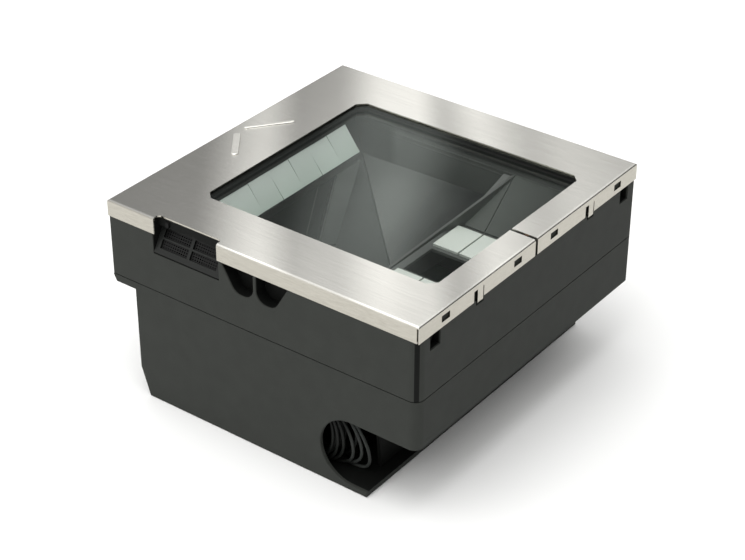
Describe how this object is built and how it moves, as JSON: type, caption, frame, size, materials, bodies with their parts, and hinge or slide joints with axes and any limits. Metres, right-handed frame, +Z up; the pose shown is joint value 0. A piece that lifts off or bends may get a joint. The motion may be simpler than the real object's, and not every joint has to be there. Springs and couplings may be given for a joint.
{
  "type": "flatbed barcode scanner",
  "caption": "Square in-counter barcode scanner: lift-off brushed steel cover, glass window over tilted mirrors, stepped dark housing, speaker grille and a coiled cable in a front bay.",
  "frame": {"origin": "middle of the underside of the tub, on the surface it rests on, in the middle of the square footprint", "axes": "+X to the right along the front, +Y to the back, +Z up"},
  "size_m": [0.292, 0.292, 0.1699],
  "materials": {
    "steel": "brushed",
    "window": "clear",
    "gasket": "satin",
    "housing": "fine textured",
    "trim": "satin",
    "inner_plastic": "matte",
    "mirror": "polished",
    "alloy": "satin",
    "brass": "satin",
    "bright_steel": "bright",
    "board": "solder mask",
    "lens": "clear",
    "ribbon": "satin",
    "coil_tape": "satin",
    "cable": "satin"
  },
  "bodies": {
    "housing": {"aux_port": "trim", "board_ribbon": "ribbon", "board_screws": "bright_steel", "cable_coil": "cable", "cable_lead": "cable", "cable_plug": "cable", "cable_tail": "cable", "case_screws": "bright_steel", "chassis_screws": "bright_steel", "collection_lens": "lens", "detector_board": "board", "eas_antenna": "coil_tape", "far_plug": "cable", "host_port": "trim", "laser_bracket": "inner_plastic", "laser_module": "brass", "lens_holder": "inner_plastic", "lower_housing": "housing", "main_board": "board", "main_mirror": "mirror", "motor_base": "alloy", "motor_ribbon": "ribbon", "motor_screws": "bright_steel", "optics_frame": "inner_plastic", "pattern_mirrors": "mirror", "photodiode": "trim", "port_board": "board", "power_jack": "trim", "rear_mirrors": "mirror", "ridge_mirror": "mirror", "scan_chassis": "inner_plastic", "shelf_mirrors": "mirror", "side_mirror": "mirror", "speaker": "trim", "speaker_grille": "trim", "spinner_bearing": "brass", "upper_housing": "housing", "volume_switch": "trim", "window_gasket": "gasket", "window_glass": "window"},
    "cover": {"top_cover": "steel"},
    "spinner": {"spinner_shaft": "bright_steel", "rotor_cup": "alloy", "facet_wheel": "mirror", "wheel_clip": "bright_steel"},
    "button": {"volume_button": "trim"}
  },
  "joints": [
    {"name": "cover_lift", "type": "slide", "parent": "housing", "child": "cover", "axis": [0, 0, 1], "range_m": [0, 0.04]},
    {"name": "scan_spin", "type": "hinge", "parent": "housing", "child": "spinner", "pos_m": [-0.045, -0.045, 0.06], "axis": [0, 0, 1], "continuous": true},
    {"name": "volume_press", "type": "slide", "parent": "housing", "child": "button", "axis": [0, 1, 0], "range_m": [0, 0.0008], "stiffness_N_per_m": 500}
  ]
}
